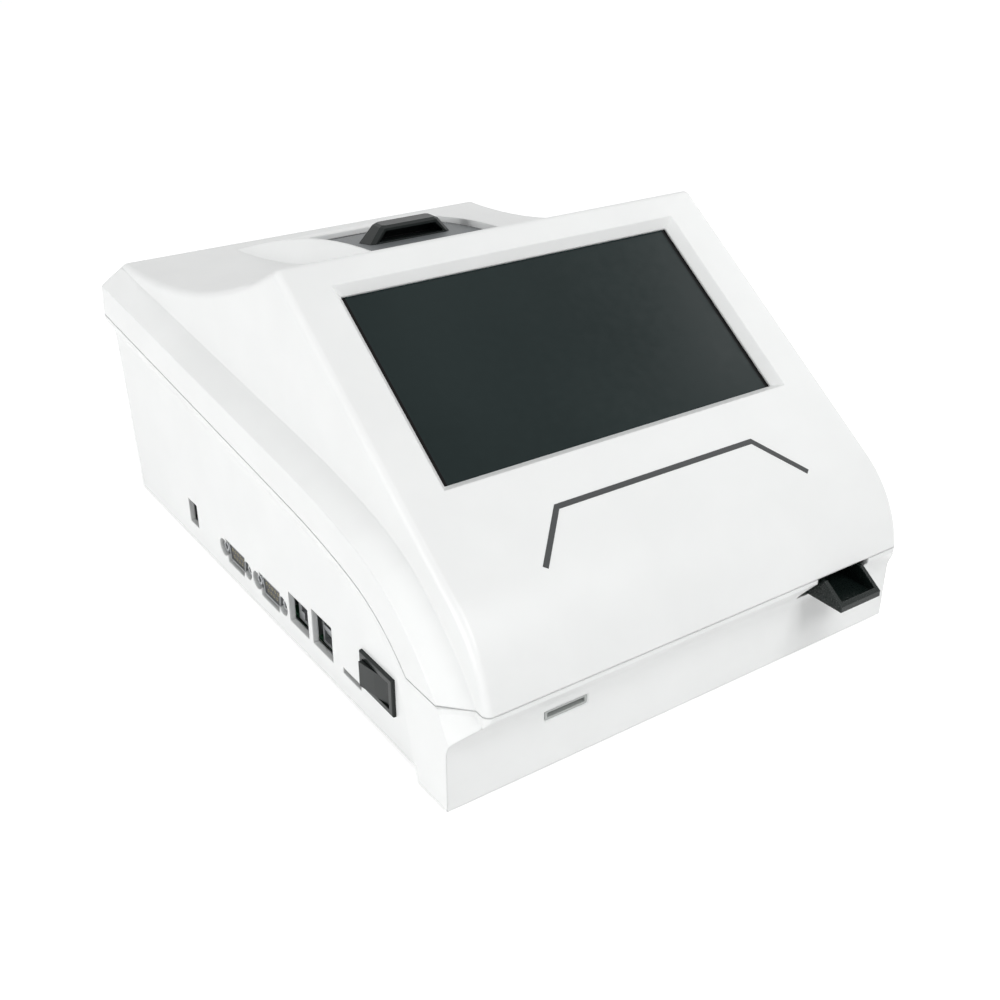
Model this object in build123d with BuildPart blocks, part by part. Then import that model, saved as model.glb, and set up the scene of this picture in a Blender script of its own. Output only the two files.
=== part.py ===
from build123d import *
from math import acos, atan, atan2, cos, degrees, pi, radians, sin, sqrt, tan
import os

os.makedirs("parts", exist_ok=True)

# Bench-top fluorescence immunoassay analyzer, in millimetres.
# Depths (y) are measured back from the front bottom edge, heights (z) up from the bottom of the base,
# and widths (x) from the centre plane. The origin is under the middle of the whole instrument.

# Outline of the base
pillar_width = 220.0        # across the front corner pillars and the side skirts
wall_recess = 3.7           # how far the side walls lie inside the skirts
base_depth = 294.4          # front edge to rear wall, at the floor
rear_rake = 10.9            # how far the rear wall leans out at the seam
foot_height = 2.0
wall = 2.6                  # moulded wall of the base
cover_wall = 2.5            # moulded wall of the cover

# Seam between base and cover: a long slope from the rear, a crown bend and a corner bend
seam_rear_height = 90.0
seam_slope = 5.6            # degrees, on the long stretch
seam_long = 197.9
crown_slope = 13.5          # slope where the crown bend ends
crown_radius = 340.0
corner_radius = 75.2
seam_front_height = 41.5
seam_gap = 0.4

# Front lip
lip_reach = 10.4            # how far the front seam stands out over the front wall
undercut_start = 27.4       # height where the front wall starts to lean out
undercut_radius = 12.0

# Side bands of the cover
skirt_rise = 15.0           # upright band over the seam
flank_rise = 23.5           # inner edge of the sloped band over the seam
upper_width = 201.0         # across the raised middle of the cover
edge_radius = 3.0           # along the raised middle's edges

# Display panel
panel_tilt = 35.2
panel_foot = (42.4, 98.1)   # depth and height of the display recess's lower edge
recess_width = 164.0
recess_length = 91.3
recess_depth = 3.8
recess_draft = 3.1          # how far each recess wall slopes in
panel_head = 11.8           # panel above the recess
panel_chin = 39.7           # flat panel below the recess
glass_thickness = 1.8
glass_margin = 3.7          # glass hidden behind the frame on each side
lcd_thickness = 5.4

# Rear trough and rim
rim_depth = 298.6
rim_height = 114.8
trough_middle = (212.0, 125.6)
band_top_depth = 303.3
band_top_height = 104.0

# Printer hump on the trough
hump_rear = (288.0, 115.2)
hump_front = (165.0, 140.8)
hump_radius = 380.0
hump_front_end = 150.0
hump_rear_half = 33.5       # half width of the hump's rear end at hump_datum
hump_front_half = 37.5
hump_rear_lean = 0.8        # flank slope, width for each mm of height
hump_front_lean = 0.3
hump_datum = 131.0
hump_rear_end = 290.0
deck_front = (165.0, 137.8)  # printer door's surface, sunk into the hump
deck_rear = (288.0, 115.2)
deck_radius = 450.0

# Printer
door_half = 32.0
door_thickness = 2.5
door_gap = 0.4
pin_depth = 232.0
pin_height = 125.2
pin_radius = 1.2
barrel_radius = 4.4
running = 0.05              # radial clearance of a turning shaft
platen_depth = 186.5
platen_height = 127.5
platen_radius = 5.0
platen_shaft = 1.5
paper_width = 57.0
roll_radius = 20.0
roll_core = 6.5
roll_depth = 207.0
roll_height = 104.5
seat_clearance = 0.3
frame_sheet = 1.6
printer_module = 0.5
platen_teeth = 22
printer_pinion_teeth = 11
printer_gear_width = 2.4
printer_motor_radius = 7.5
printer_motor_length = 14.0
printer_shaft = 0.75
handle_base_half = 25.0
handle_top_half = 14.5

# Sample tray and its drive
tray_centre = 68.7          # to the right of the middle
tray_width = 22.0
tray_floor = 30.5
tray_wall = 1.6
tray_height = 9.3
tray_reach = 20.8           # how far it stands out in front of the front wall
tray_tail = 134.0
pocket_end = 58.0
tray_travel = 58.0
slot_half = 14.3            # half width of the tray's slot in the front wall
slot_floor = 28.0
rod_radius = 2.0
rod_height = 24.0
rod_spacing = 12.4
lug_depths = (77.5, 130.5)
lug_length = 7.0
drive_module = 0.8
pinion_teeth = 16
pinion_depth = 70.0
gear_backlash = 0.12
rack_start = 63.0
chassis_sheet = 1.5
chassis_height = 6.0
chassis_left = 34.0
chassis_right = 92.0
chassis_front = 8.0
chassis_rear = 145.5
motor_radius = 9.0
motor_shelf = 26.0

# Optics
optics_front = 18.0
optics_rear = 56.0
bridge_height = 44.0
head_height = 22.0
head_width = 24.0
lens_radius = 5.0

# Ports in the left wall: depth of the middle, height of the middle, width and height of each cut-out
board_top = 9.0
board_thickness = 1.6
lan_port_at = (117.4, 16.1)
lan_cut = (17.2, 14.0)
usb_port_at = (96.8, 17.7)
usb_cut = (16.9, 16.4)
card_slot_at = (73.0, 11.0)
card_cut = (14.2, 2.6)
inlet_at = (225.8, 14.7)
inlet_cut = (9.8, 12.0)
serial_depths = (179.3, 144.8)
serial_height = 12.6
switch_at = (51.6, 22.3)
switch_frame = (24.0, 16.2)
rocker_size = (18.6, 11.0)
rocker_swing = 9.0

# Chip card slot in the front wall
id_slot_at = (-59.3, 22.8)
id_frame = (18.8, 4.0)
id_slot = (16.6, 2.0)
id_bevel = 0.8

# Values that follow from the ones above
pillar_half = pillar_width / 2
wall_half = pillar_half - wall_recess
upper_half = upper_width / 2
rear_reach = base_depth + rear_rake
front = -(rear_reach - tray_reach) / 2
inner_half = wall_half - wall


def square_to(slope):
    """Direction square to the seam where it falls towards the front by slope degrees."""
    return Vector(-sin(radians(slope)), cos(radians(slope)))


seam_rear = Vector(rear_reach, seam_rear_height)
seam_run_end = seam_rear - Vector(cos(radians(seam_slope)), sin(radians(seam_slope))) * seam_long
crown_centre = seam_run_end - square_to(seam_slope) * crown_radius
crown_end = crown_centre + square_to(crown_slope) * crown_radius
corner_centre = crown_end - square_to(crown_slope) * corner_radius


def level(height):
    """Horizontal plane at a height over the bottom of the base."""
    return Plane(origin=(0, front, foot_height + height))


def side(width):
    """Upright plane seen from the right, with depth along its first axis."""
    return Plane(origin=(width, front, foot_height), x_dir=(0, 1, 0), z_dir=(1, 0, 0))


def facing(depth):
    """Upright plane seen from the front."""
    return Plane(origin=(0, front + depth, foot_height), x_dir=(1, 0, 0), z_dir=(0, -1, 0))


panel_plane = Plane(
    origin=(0, front + panel_foot[0], foot_height + panel_foot[1]),
    x_dir=(1, 0, 0),
    z_dir=(0, -sin(radians(panel_tilt)), cos(radians(panel_tilt))),
)


def on_panel(along):
    """Depth and height of a point of the panel's centre line."""
    return (
        panel_foot[0] + along * cos(radians(panel_tilt)),
        panel_foot[1] + along * sin(radians(panel_tilt)),
    )


def seam_line(gap, rear_depth):
    """Draws the line that runs gap above the seam, and returns its rear and front ends."""
    foot = seam_rear + square_to(seam_slope) * gap
    rear_end = Vector(rear_depth, foot.Y + (rear_depth - foot.X) * tan(radians(seam_slope)))
    front_slope = degrees(acos((seam_front_height + seam_gap_side(gap) - corner_centre.Y) / (corner_radius + gap)))
    Line(rear_end, seam_run_end + square_to(seam_slope) * gap)
    CenterArc(crown_centre, crown_radius + gap, 90 + seam_slope, crown_slope - seam_slope)
    bend = CenterArc(corner_centre, corner_radius + gap, 90 + crown_slope, front_slope - crown_slope)
    return rear_end, bend @ 1


def seam_gap_side(gap):
    """A line within the seam's own gap ends at its own height, and the bands end at the seam."""
    return gap if abs(gap) < seam_gap else 0.0


def below_seam(gap):
    """Face on the left that covers everything under the seam, moved up by gap."""
    with BuildSketch(side(-pillar_half - 10)) as area:
        with BuildLine():
            rear_end, front_end = seam_line(gap, rear_reach + 30)
            Polyline(front_end, (-40, front_end.Y), (-40, -20), (rear_end.X, -20), rear_end)
        make_face()
    return area.sketch


def band_face(width, gap, rear_depth, lowest):
    """Face under one of the cover's side creases."""
    with BuildSketch(side(width)) as face:
        with BuildLine():
            rear_end, front_end = seam_line(gap, rear_depth)
            Polyline(front_end, (front_end.X, lowest), (rear_end.X, lowest), rear_end)
        make_face()
    return face.sketch


def arc_centre(near, far, radius):
    """Centre of the circle that arches over two points of the side view."""
    span = Vector(*far) - Vector(*near)
    drop = sqrt(radius**2 - (span.length / 2) ** 2)
    return (Vector(*near) + Vector(*far)) * 0.5 - Vector(-span.Y, span.X).normalized() * drop


hump_centre = arc_centre(hump_front, hump_rear, hump_radius)
deck_centre = arc_centre(deck_front, deck_rear, deck_radius)


def deck_top(depth):
    """Height of the printer door's surface at a depth."""
    return deck_centre.Y + sqrt(deck_radius**2 - (depth - deck_centre.X) ** 2)


def hump_section(depth, half, lean, inset):
    """Cross-section of the hump's two flanks."""
    low, high = 100.0, 150.0
    with BuildSketch(facing(depth)) as section:
        with BuildLine():
            low_half = half + lean * (hump_datum - low) - inset
            high_half = half + lean * (hump_datum - high) - inset
            Polyline((-low_half, low), (low_half, low), (high_half, high), (-high_half, high), close=True)
        make_face()
    return section.sketch


def hump(inset):
    """Hump on the trough, or the hollow inset into it."""
    with BuildPart() as body:
        rear_section = hump_section(hump_rear_end, hump_rear_half, hump_rear_lean, inset)
        front_section = hump_section(hump_front_end, hump_front_half, hump_front_lean, inset)
        loft([rear_section.face(), front_section.face()], ruled=True)
        with BuildSketch(side(-pillar_half)):
            with Locations(hump_centre):
                Circle(hump_radius - inset)
        extrude(amount=2 * pillar_half, mode=Mode.INTERSECT)
    return body.part


def rear_outline(lowest):
    """Corners of the cover's rear end, from the rim down past the seam."""
    return [
        (rim_depth, rim_height),
        (band_top_depth, band_top_height),
        (rear_reach, seam_rear_height),
        (rear_reach, lowest),
    ]


def cover_profile(half, inset, lowest, rear_corners):
    """Side view of the cover's raised middle, drawn down past the seam, on its left face."""
    chin_top = on_panel(-panel_chin)
    panel_top = on_panel(recess_length + panel_head)
    with BuildSketch(side(-half)) as profile:
        with BuildLine():
            chin = TangentArc(
                chin_top,
                (-lip_reach, seam_front_height),
                tangent=(-cos(radians(panel_tilt)), -sin(radians(panel_tilt))),
            )
            Line(chin_top, panel_top)
            ThreePointArc(panel_top, trough_middle, (rim_depth, rim_height))
            run_on = (chin % 1) * ((seam_front_height - lowest) / abs((chin % 1).Y))
            Polyline(*rear_corners, chin @ 1 + run_on, chin @ 1)
        make_face()
        if inset:
            offset(amount=-inset, kind=Kind.INTERSECTION, mode=Mode.REPLACE)
    return profile.sketch


def block(widths, depths, heights, mode=Mode.ADD):
    """Upright block between pairs of limits."""
    middle = (sum(widths) / 2, front + sum(depths) / 2, foot_height + sum(heights) / 2)
    with Locations(middle):
        Box(widths[1] - widths[0], depths[1] - depths[0], heights[1] - heights[0], mode=mode)


def rods(plane, spots, radius, length, mode=Mode.ADD):
    """Round bars that stand on a plane at the given spots."""
    with BuildSketch(plane) as ends:
        with Locations(*spots):
            Circle(radius)
    extrude(ends.sketch, amount=length, mode=mode)


def bars(plane, spots, radius, length, mode=Mode.ADD, sides=8):
    """Many-sided bars, for the screws and posts that repeat inside the housing."""
    with BuildSketch(plane) as ends:
        with Locations(*spots):
            RegularPolygon(radius, sides)
    extrude(ends.sketch, amount=length, mode=mode)


def screws(plane, spots, radius, length, head_radius, head_height):
    """Hexagon-headed screws whose heads stand on a plane and whose shanks go down through it."""
    bars(plane, spots, radius, -length)
    bars(plane, spots, head_radius, head_height, sides=6)


def both_sides(spots):
    """The same places on the left and on the right."""
    return [(hand * x, y) for x, y in spots for hand in (-1, 1)]


def finish(piece, name):
    """Labels a finished piece and writes it."""
    piece.part.label = name
    export_step(piece.part, "parts/" + name + ".step")
    print(name, piece.part.is_valid, len(piece.part.solids()), round(piece.part.volume))


# Places and sizes of the screws
corner_posts = (((97.0, 14.0), 33.0), ((97.0, 281.0), 62.0))
post_radius = 4.5
post_web = 5.0
screw_radius = 1.5
screw_head_radius = 2.8
screw_head_height = 2.2
screw_reach = 9.0
screw_fit = 0.05
small_screw_radius = 1.0
small_head_radius = 1.9
small_head_height = 1.2

# Body of the cover before it is hollowed
cover_depth = 20.0
with BuildPart() as cover_body:
    past_the_rear = [(rim_depth, rim_height), (rear_reach + 15, rim_height), (rear_reach + 15, cover_depth)]
    extrude(cover_profile(upper_half, 0, cover_depth, past_the_rear), amount=upper_width)
    upper_edges = edges().filter_by(lambda e: e.center().Z > foot_height + cover_depth + 1)
    side_edges = upper_edges.filter_by(lambda e: abs(e.center().X) > 1 and e.center().Y < front + rear_reach + 10)
    ridge = upper_edges.filter_by(Axis.X).sort_by(Axis.Z)[-1:]
    fillet(side_edges + ridge, edge_radius)
    for hand in (-1, 1):
        outer = band_face(hand * pillar_half, skirt_rise, rear_reach + 15, cover_depth)
        inner = band_face(hand * upper_half, flank_rise, rear_reach + 15, cover_depth)
        loft([outer.face(), inner.face()], ruled=True)
    add(hump(0))
    with BuildSketch(side(-pillar_half - 5)):
        with BuildLine():
            Polyline(*rear_outline(0), (-40, 0), (-40, 180), (rim_depth, 180), close=True)
        make_face()
    extrude(amount=pillar_width + 10, mode=Mode.INTERSECT)

with BuildPart() as cover_hollow:
    middle = cover_profile(upper_half - cover_wall, cover_wall, cover_depth - 10, rear_outline(cover_depth - 10))
    extrude(middle, amount=upper_width - 2 * cover_wall)
    skirt = band_face(cover_wall - pillar_half, skirt_rise - 4, rear_reach - cover_wall - 1.5, cover_depth - 10)
    extrude(skirt, amount=pillar_width - 2 * cover_wall)
    add(hump(cover_wall))

printer_spots = both_sides(((39.0, 208.0), (39.0, 230.0)))
printer_seat = 114.0
printer_post_radius = 3.2
with BuildPart() as cover_posts:
    for spot, joint_height in corner_posts:
        bars(level(joint_height), both_sides((spot,)), post_radius, 100)
    bars(level(printer_seat), printer_spots, printer_post_radius, 50)
    add(cover_body.part, mode=Mode.INTERSECT)

# Stack behind the display recess, measured in from the panel
frame_thickness = recess_depth + 0.9
display_middle = recess_length / 2
glass_width = recess_width - 2 * recess_draft + 2 * glass_margin
glass_length = recess_length - 2 * recess_draft + 2 * glass_margin
glass_front = frame_thickness + 0.05
lcd_front = glass_front + glass_thickness + 0.05
bracket_front = lcd_front + lcd_thickness + 0.05
bracket_sheet = 1.5
display_spots = [
    (hand * 88.0, display_middle + step * 42.0) for hand in (-1, 1) for step in (-1, 1)
]

opening_front = platen_depth - platen_radius - 5.3
opening_rear = pin_depth + barrel_radius + door_gap + 0.1
opening_half = door_half + door_gap

with BuildPart() as top_cover:
    add(cover_body.part)
    add(cover_hollow.part, mode=Mode.SUBTRACT)
    add(cover_posts.part)
    with BuildSketch(panel_plane.offset(-1.0)):
        with Locations((0, display_middle)):
            Rectangle(recess_width + 22, recess_length + 8)
    extrude(amount=-(frame_thickness - 1.0))
    bars(panel_plane.offset(-2.0), display_spots, 3.0, -(bracket_front - 2.0))
    with BuildSketch(panel_plane):
        with Locations((0, display_middle)):
            Rectangle(recess_width, recess_length)
    extrude(amount=-recess_depth, taper=degrees(atan(recess_draft / recess_depth)), mode=Mode.SUBTRACT)
    with BuildSketch(panel_plane.offset(-recess_depth + 0.1)):
        with Locations((0, display_middle)):
            Rectangle(recess_width - 2 * recess_draft, recess_length - 2 * recess_draft)
    extrude(amount=-5, mode=Mode.SUBTRACT)
    block((-opening_half, opening_half), (opening_front, opening_rear), (118, 150), mode=Mode.SUBTRACT)
    # Screw holes
    for spot, joint_height in corner_posts:
        bars(level(joint_height - 1), both_sides((spot,)), screw_radius + screw_fit, screw_reach + 3, Mode.SUBTRACT)
    bars(level(printer_seat - 1), printer_spots, small_screw_radius + screw_fit, 8, Mode.SUBTRACT)
    bars(panel_plane.offset(-bracket_front - 1), display_spots, small_screw_radius + screw_fit, 7, Mode.SUBTRACT)
    extrude(below_seam(seam_gap / 2), amount=pillar_width + 20, mode=Mode.SUBTRACT)
finish(top_cover, "top_cover")


def recess_outline(width, gap, corner, knee, bottom):
    """Edge of the side wall's shallow recess, open at the floor and at the rear."""
    with BuildSketch(side(width)) as outline:
        with BuildLine():
            rear_foot = seam_rear + square_to(seam_slope) * gap
            rear_top = rear_foot + Vector(1, tan(radians(seam_slope))) * 25
            Line(rear_top, seam_run_end + square_to(seam_slope) * gap)
            crown = CenterArc(crown_centre, crown_radius + gap, 90 + seam_slope, crown_slope - seam_slope)
            TangentArc(crown @ 1, corner, tangent=crown % 1)
            Polyline(corner, knee, (bottom, -3), (rear_top.X, -3), rear_top)
        make_face()
    return outline.sketch


def corner_cut(height, near, far):
    """Plan of what the front corner lacks at a height."""
    with BuildSketch(level(height)) as plan:
        with BuildLine():
            Polyline((upper_half, -40), (upper_half, near), (pillar_half + 1, far), (pillar_half + 1, -40), close=True)
        make_face()
    return plan.sketch


lip_knee = 39.5             # height where the lip turns upright
rake_slope = rear_rake / seam_rear_height
corner_ends = (-3.7, 5.47)   # depths where the cover's two side creases meet the front seam
corner_fade = -22.0         # how steeply the corner's facet runs into the undercut
with BuildPart() as corner_voids:
    top_plan = corner_cut(lip_knee, *corner_ends)
    loft([corner_cut(undercut_start, corner_fade, 0).face(), top_plan.face()], ruled=True)
    extrude(top_plan, amount=100)
    with BuildSketch(level(undercut_start)) as lip_end:
        with Locations((upper_half - edge_radius, edge_radius - lip_reach)):
            Rectangle(edge_radius + 1, edge_radius + 1, align=(Align.MIN, Align.MAX))
            Circle(edge_radius, mode=Mode.SUBTRACT)
    extrude(lip_end.sketch, amount=100)
    mirror(about=Plane.YZ)

with BuildPart() as base_body:
    with BuildSketch(side(-pillar_half)):
        with BuildLine():
            Polyline(
                (0, 0),
                (base_depth, 0),
                (base_depth + rake_slope * 120, 120),
                (-lip_reach, 120),
                (-lip_reach, lip_knee),
                (0, undercut_start),
                close=True,
            )
        make_face()
        fillet(vertices().sort_by_distance((0, undercut_start))[0], undercut_radius)
    extrude(amount=pillar_width)
    add(corner_voids.part, mode=Mode.SUBTRACT)
    for hand in (-1, 1):
        outer = recess_outline(hand * pillar_half, -2.0, (26.6, 25.6), (23.9, 15.5), 18.4)
        inner = recess_outline(hand * wall_half, -9.5, (33.0, 20.0), (30.4, 9.6), 25.2)
        loft([outer.face(), inner.face()], ruled=True, mode=Mode.SUBTRACT)

chassis_posts = ((42.0, 14.0), (86.0, 16.0), (42.0, 139.0), (86.0, 139.0))
board_spots = ((-80.0, 72.0), (-80.0, 238.0), (18.0, 72.0), (18.0, 238.0))
board_bottom = board_top - board_thickness
reader_board_bottom = 18.0
reader_spots = ((-66.0, 12.0), (-52.6, 12.0))
foot_spots = both_sides(((82.0, 24.0), (82.0, 268.0)))
foot_radius = 7.0
inner_floor = wall

with BuildPart() as bottom_housing:
    add(base_body.part)
    with BuildSketch(side(wall - upper_half)):
        with BuildLine():
            Polyline(
                (wall, inner_floor),
                (base_depth - wall + rake_slope * inner_floor, inner_floor),
                (base_depth - wall + rake_slope * 125, 125),
                (wall - lip_reach, 125),
                (wall - lip_reach, lip_knee - 1),
                (wall, undercut_start - 1),
                close=True,
            )
        make_face()
    extrude(amount=2 * (upper_half - wall), mode=Mode.SUBTRACT)
    with BuildSketch(side(-inner_half)):
        with BuildLine():
            Polyline(
                (6, inner_floor),
                (base_depth - wall + rake_slope * inner_floor, inner_floor),
                (base_depth - wall + rake_slope * 125, 125),
                (6, 125),
                close=True,
            )
        make_face()
    extrude(amount=2 * inner_half, mode=Mode.SUBTRACT)
    # Posts for the cover, the drive chassis, the main board and the card reader
    for spot, joint_height in corner_posts:
        bars(level(1), both_sides((spot,)), post_radius, joint_height - 1)
    bars(level(1), chassis_posts, 3.5, chassis_height - 1)
    bars(level(1), board_spots, 3.0, board_bottom - 1)
    bars(level(1), reader_spots, 2.2, reader_board_bottom - 1)
    rods(level(1), [(-20.0, 30.0)], 15.4, 3)
    rods(level(inner_floor), [(-20.0, 30.0)], 14.1, 5, Mode.SUBTRACT)
    # Holes through and into the posts
    for spot, joint_height in corner_posts:
        bars(level(-1), both_sides((spot,)), screw_radius + screw_fit, joint_height + 3, Mode.SUBTRACT)
        bars(level(-1), both_sides((spot,)), screw_head_radius + 0.3, joint_height - post_web + 1, Mode.SUBTRACT)
    for spots, top in ((chassis_posts, chassis_height), (board_spots, board_bottom)):
        bars(level(top + 1), spots, small_screw_radius + screw_fit, -5.5, Mode.SUBTRACT)
    bars(level(reader_board_bottom + 1), reader_spots, small_screw_radius + screw_fit, -6, Mode.SUBTRACT)
    with BuildSketch(level(-1)):
        with Locations((-20, 30)):
            with PolarLocations(8, 8):
                Rectangle(5.6, 1.6)
    extrude(amount=6, mode=Mode.SUBTRACT)
    # Openings in the front wall
    block((tray_centre - slot_half, tray_centre + slot_half), (-30, 20), (slot_floor, 60), mode=Mode.SUBTRACT)
    with BuildSketch(facing(-1)):
        with Locations(id_slot_at):
            RectangleRounded(*id_frame, 0.8)
    extrude(amount=-10, mode=Mode.SUBTRACT)
    with BuildSketch(facing(-0.2)):
        with Locations(id_slot_at):
            RectangleRounded(id_frame[0] + 2 * id_bevel, id_frame[1] + 2 * id_bevel, 1.2)
    extrude(amount=-id_bevel, taper=45, mode=Mode.SUBTRACT)
    # Openings in the left wall
    with BuildSketch(side(-pillar_half)):
        for place, cut in (
            (lan_port_at, lan_cut),
            (usb_port_at, usb_cut),
            (card_slot_at, card_cut),
            (inlet_at, inlet_cut),
        ):
            with Locations(place):
                Rectangle(*cut)
        with Locations(switch_at):
            Rectangle(switch_frame[0] - 2.4, switch_frame[1] - 2.4)
        for depth in serial_depths:
            with Locations((depth, serial_height)):
                Trapezoid(20.4, 11.0, 80, rotation=180)
                with GridLocations(25.0, 1, 2, 1):
                    Circle(4.2)
    extrude(amount=12, mode=Mode.SUBTRACT)
    # Sockets for the feet
    bars(level(-1), foot_spots, 2.5, 10, Mode.SUBTRACT)
    keep_below = below_seam(-seam_gap / 2)
    extrude(keep_below, amount=pillar_width + 20, mode=Mode.INTERSECT)
finish(bottom_housing, "bottom_housing")

# Feet and the screws that join base and cover
with BuildPart() as rubber_feet:
    rods(level(-foot_height), foot_spots, foot_radius, foot_height)
    chamfer(rubber_feet.edges().group_by(Axis.Z)[0], 0.8)
    bars(level(-0.5), foot_spots, 2.3, 2.5)
finish(rubber_feet, "rubber_feet")

with BuildPart() as housing_screws:
    for spot, joint_height in corner_posts:
        seat = level(joint_height - post_web)
        bars(seat, both_sides((spot,)), screw_radius, post_web + screw_reach)
        bars(seat, both_sides((spot,)), screw_head_radius, -screw_head_height, sides=6)
finish(housing_screws, "housing_screws")

# Display
with BuildPart() as touch_glass:
    with BuildSketch(panel_plane.offset(-glass_front)):
        with Locations((0, display_middle)):
            RectangleRounded(glass_width, glass_length, 1)
    extrude(amount=-glass_thickness)
finish(touch_glass, "touch_glass")

with BuildPart() as lcd_module:
    with BuildSketch(panel_plane.offset(-lcd_front)):
        with Locations((0, display_middle)):
            Rectangle(glass_width - 3, glass_length - 3)
    extrude(amount=-lcd_thickness)
    chamfer(lcd_module.edges().filter_by(Axis.X).sort_by(Axis.Z)[0], 0.8)
finish(lcd_module, "lcd_module")

with BuildPart() as display_bracket:
    with BuildSketch(panel_plane.offset(-bracket_front)):
        with Locations((0, display_middle)):
            RectangleRounded(184, 94, 3)
            with Locations((0, 6)):
                RectangleRounded(110, 44, 4, mode=Mode.SUBTRACT)
        with Locations(*display_spots):
            RegularPolygon(small_screw_radius + 0.15, 8, mode=Mode.SUBTRACT)
    extrude(amount=-bracket_sheet)
finish(display_bracket, "display_bracket")

bracket_back = panel_plane.offset(-bracket_front - bracket_sheet)
with BuildPart() as display_screws:
    bars(bracket_back, display_spots, small_screw_radius, bracket_sheet + 5)
    bars(bracket_back, display_spots, small_head_radius, -small_head_height, sides=6)
finish(display_screws, "display_screws")

# Sample tray, its rack and rods
tray_half = tray_width / 2
tray_top = tray_floor + tray_height
lug_half = 9.4
rod_spots_x = (tray_centre - rod_spacing / 2, tray_centre + rod_spacing / 2)
with BuildPart() as tray:
    with BuildSketch(side(tray_centre - tray_half)):
        with BuildLine():
            Polyline(
                (-tray_reach, tray_floor),
                (-tray_reach, tray_floor + 2.5),
                (-lip_reach - 0.6, tray_top),
                (tray_tail, tray_top),
                (tray_tail, tray_floor),
                close=True,
            )
        make_face()
    extrude(amount=tray_width)
    pocket = (tray_centre - tray_half + tray_wall, tray_centre + tray_half - tray_wall)
    block(pocket, (tray_wall - tray_reach, pocket_end), (tray_floor + tray_wall, 60), mode=Mode.SUBTRACT)
    block(pocket, (pocket_end + tray_wall, tray_tail - tray_wall), (tray_floor + tray_wall, 60), mode=Mode.SUBTRACT)
    for depth in lug_depths:
        block(
            (tray_centre - lug_half, tray_centre + lug_half),
            (depth - lug_length / 2, depth + lug_length / 2),
            (rod_height - 3.5, tray_floor + 1),
        )
    with BuildSketch(facing(lug_depths[0] - lug_length)):
        with Locations(*[(x, rod_height) for x in rod_spots_x]):
            Circle(rod_radius + running)
    extrude(amount=-80, mode=Mode.SUBTRACT)
finish(tray, "tray")


def gear_teeth(module, teeth, turn, backlash):
    """Ring of straight-sided teeth around the origin of the sketch, the first one turned by turn degrees."""
    pitch = module * teeth / 2
    root = pitch - 1.25 * module
    tip = pitch + module
    thick = pi * module / 2 - backlash
    slope = tan(radians(20))
    at_root = thick / 2 + 1.25 * module * slope
    at_tip = thick / 2 - module * slope
    Circle(root)
    with PolarLocations(0, teeth, start_angle=turn):
        Polygon((root * 0.9, -at_root), (tip, -at_tip), (tip, at_tip), (root * 0.9, at_root), align=None)


pinion_pitch = drive_module * pinion_teeth / 2
rack_pitch_x = tray_centre - tray_half - 2.4
pinion_x = rack_pitch_x - pinion_pitch
rack_height = (31.5, 36.5)
pinion_height = (32.0, 36.0)
motor_shaft = 1.0
with BuildPart() as tray_rack:
    with BuildSketch(level(rack_height[0])):
        spacing = pi * drive_module
        thick = spacing / 2 - gear_backlash
        slope = tan(radians(20))
        root_x = rack_pitch_x + 1.25 * drive_module
        count = int((tray_tail - rack_start) / spacing) - 1
        first = pinion_depth - spacing * (0.5 + int((pinion_depth - rack_start) / spacing - 0.5))
        with Locations(((root_x + tray_centre - tray_half) / 2, (rack_start + tray_tail) / 2)):
            Rectangle(tray_centre - tray_half - root_x, tray_tail - rack_start)
        for number in range(count):
            with Locations((rack_pitch_x, first + number * spacing)):
                Polygon(
                    (-drive_module, -(thick / 2 - drive_module * slope)),
                    (-drive_module, thick / 2 - drive_module * slope),
                    (1.3 * drive_module, thick / 2 + 1.3 * drive_module * slope),
                    (1.3 * drive_module, -(thick / 2 + 1.3 * drive_module * slope)),
                    align=None,
                )
    extrude(amount=rack_height[1] - rack_height[0])
finish(tray_rack, "tray_rack")

with BuildPart() as drive_pinion:
    with BuildSketch(level(pinion_height[0])):
        with Locations((pinion_x, pinion_depth)):
            gear_teeth(drive_module, pinion_teeth, 0, gear_backlash)
    extrude(amount=pinion_height[1] - pinion_height[0])
    rods(level(pinion_height[0]), [(pinion_x, pinion_depth)], 3.5, -2.5)
    rods(level(pinion_height[0]), [(pinion_x, pinion_depth)], motor_shaft, motor_shelf - pinion_height[0] - 4)
finish(drive_pinion, "drive_pinion")

with BuildPart() as guide_rods:
    with BuildSketch(facing(chassis_front)):
        with Locations(*[(x, rod_height) for x in rod_spots_x]):
            Circle(rod_radius)
    extrude(amount=chassis_front - chassis_rear)
finish(guide_rods, "guide_rods")

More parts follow.
